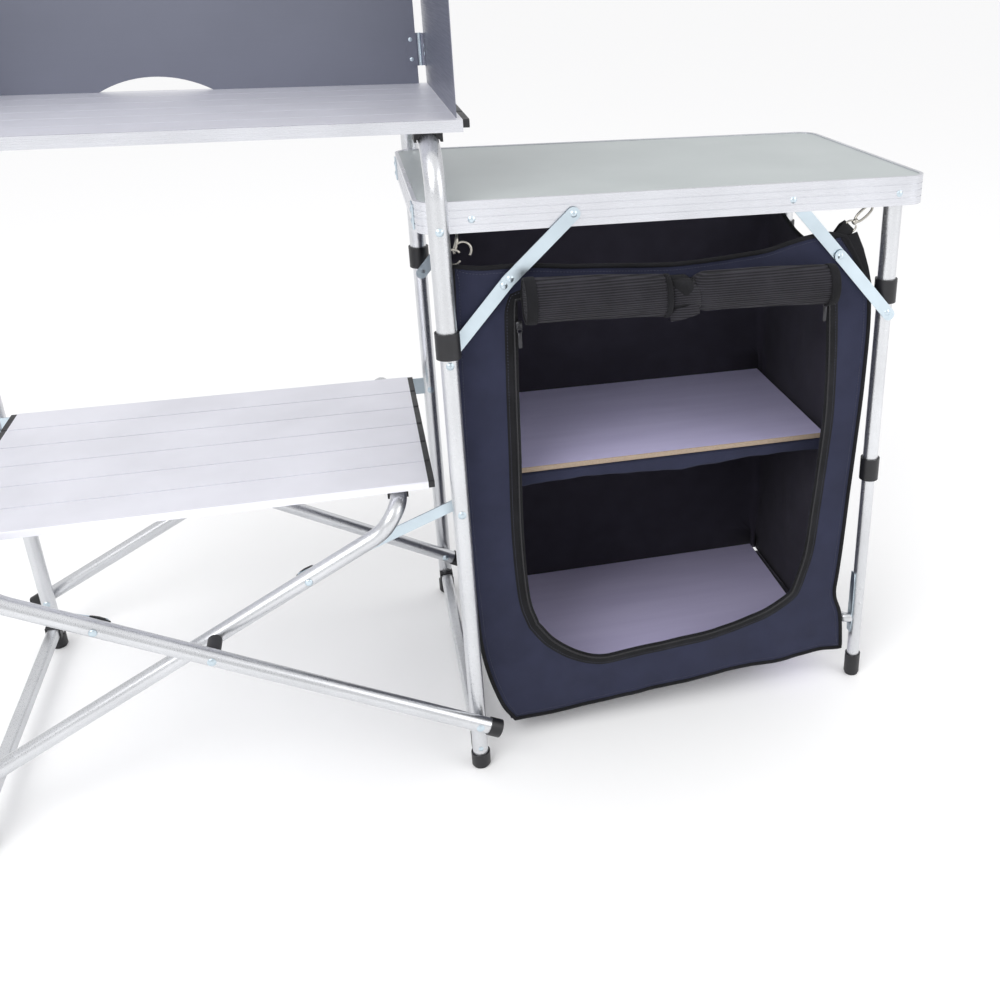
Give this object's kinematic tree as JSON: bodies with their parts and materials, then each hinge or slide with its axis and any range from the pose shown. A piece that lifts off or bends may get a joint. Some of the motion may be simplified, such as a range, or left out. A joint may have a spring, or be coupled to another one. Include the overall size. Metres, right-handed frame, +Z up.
{
  "type": "camp kitchen table",
  "caption": "Folding camp kitchen: a slatted stove stand with wind shield on crossed tubes, joined to a side table with a hanging fabric larder.",
  "frame": {"origin": "on the floor, under the middle of the whole outfit", "axes": "+X along the width towards the larder table, +Y towards the back, +Z up"},
  "size_m": [1.343, 0.55, 1.145],
  "materials": {
    "laminate": "satin speckled",
    "tube": "satin anodised",
    "trim": "satin extruded",
    "slat": "satin ribbed",
    "zinc": "zinc plated",
    "shield": "polished sheet",
    "black_plastic": "moulded",
    "navy_fabric": "woven polyester",
    "black_webbing": "woven",
    "board": "laminated fibreboard"
  },
  "bodies": {
    "frame": {"table_board": "laminate", "table_rim": "trim", "rim_rivets": "zinc", "middle_leg_arch": "tube", "middle_leg_connectors": "black_plastic", "middle_lower_legs": "tube", "middle_feet": "black_plastic", "middle_foot_bar": "tube", "middle_bar_saddles": "black_plastic", "middle_leg_rivets": "zinc", "cabinet_upper_legs": "tube", "cabinet_leg_connectors": "black_plastic", "cabinet_lower_legs": "tube", "cabinet_leg_collars": "black_plastic", "left_knee_links": "zinc", "right_knee_links": "zinc", "knee_rivets": "zinc", "leg_brackets": "zinc", "larder_bag": "navy_fabric", "larder_shelf_board": "board", "larder_floor_board": "board", "larder_zip_track": "black_webbing", "mesh_door_roll": "black_webbing", "roll_strap": "black_webbing", "left_hanging_ring": "zinc", "right_hanging_loop": "black_webbing", "right_snap_hook": "zinc"},
    "cabinet_foot_set": {"cabinet_foot_tubes": "tube", "cabinet_low_brace": "tube", "cabinet_feet": "black_plastic"},
    "outer_pair": {"outer_cross_tubes": "tube", "outer_cross_caps": "black_plastic", "outer_cross_pads": "black_plastic", "cross_pivots": "zinc", "crossing_spacers": "black_plastic"},
    "inner_pair": {"inner_cross_tubes": "tube", "inner_cross_caps": "black_plastic", "inner_cross_pads": "black_plastic"},
    "left_legs": {"left_leg_arch": "tube", "left_leg_connectors": "black_plastic", "left_lower_legs": "tube", "left_feet": "black_plastic", "left_foot_bar": "tube", "left_bar_saddles": "black_plastic", "left_leg_rivets": "zinc"},
    "right_strut_set": {"right_struts": "zinc"},
    "left_strut_set": {"left_struts": "zinc"},
    "lower_shelf": {"shelf_slats": "slat", "shelf_end_caps": "black_plastic", "shelf_hooks": "zinc"},
    "stove_top": {"stove_slats": "slat", "stove_rails": "trim", "stove_end_caps": "black_plastic", "stove_saddles": "black_plastic", "wind_shield_back": "shield", "shield_hinges": "zinc"},
    "right_wing": {"right_shield_wing": "shield"},
    "left_wing": {"left_shield_wing": "shield"},
    "left_puller": {"left_zip_puller": "black_plastic"},
    "right_puller": {"right_zip_puller": "black_plastic"}
  },
  "joints": [
    {"name": "stand_fold", "type": "hinge", "parent": "frame", "child": "outer_pair", "pos_m": [0.0215, 0, 0.088], "axis": [0, 1, 0], "range_deg": [0, 36]},
    {"name": "crossing_pivot", "type": "hinge", "parent": "outer_pair", "child": "inner_pair", "pos_m": [-0.302, 0, 0.261], "axis": [0, 1, 0], "range_deg": [-72, 0]},
    {"name": "left_leg_pivot", "type": "hinge", "parent": "inner_pair", "child": "left_legs", "pos_m": [-0.6255, 0, 0.088], "axis": [0, 1, 0], "range_deg": [0, 36]},
    {"name": "right_strut_swing", "type": "hinge", "parent": "frame", "child": "right_strut_set", "pos_m": [0.0215, 0, 0.403], "axis": [0, 1, 0], "range_deg": [0, 76.33]},
    {"name": "left_strut_swing", "type": "hinge", "parent": "left_legs", "child": "left_strut_set", "pos_m": [-0.6255, 0, 0.403], "axis": [0, 1, 0], "range_deg": [-76.33, 0]},
    {"name": "lower_shelf_lift", "type": "slide", "parent": "frame", "child": "lower_shelf", "axis": [0, 0, 1], "range_m": [0, 0.378]},
    {"name": "stove_top_lift", "type": "slide", "parent": "frame", "child": "stove_top", "axis": [0, 0, 1], "range_m": [0, 0.504]},
    {"name": "right_wing_hinge", "type": "hinge", "parent": "stove_top", "child": "right_wing", "pos_m": [0.0465, 0.19, 0.895], "axis": [0, 0, 1], "range_deg": [-88, 0]},
    {"name": "left_wing_hinge", "type": "hinge", "parent": "stove_top", "child": "left_wing", "pos_m": [-0.6505, 0.19, 0.895], "axis": [0, 0, 1], "range_deg": [0, 88]},
    {"name": "cabinet_leg_slide", "type": "slide", "parent": "frame", "child": "cabinet_foot_set", "axis": [0, 0, 1], "range_m": [0, 0.15]},
    {"name": "left_zip_slide", "type": "slide", "parent": "frame", "child": "left_puller", "axis": [0.0042, 0, -1], "range_m": [0, 0.4]},
    {"name": "right_zip_slide", "type": "slide", "parent": "frame", "child": "right_puller", "axis": [0.0526, 0, -0.9986], "range_m": [0, 0.17]}
  ],
  "couplings": [
    {"joint": "crossing_pivot", "follows": "stand_fold", "ratio": -2},
    {"joint": "left_leg_pivot", "follows": "stand_fold", "ratio": 1},
    {"joint": "right_strut_swing", "follows": "stand_fold", "ratio": 2.12},
    {"joint": "left_strut_swing", "follows": "stand_fold", "ratio": -2.12},
    {"joint": "lower_shelf_lift", "follows": "stand_fold", "m_per_rad": 0.6},
    {"joint": "stove_top_lift", "follows": "stand_fold", "m_per_rad": 0.8}
  ]
}
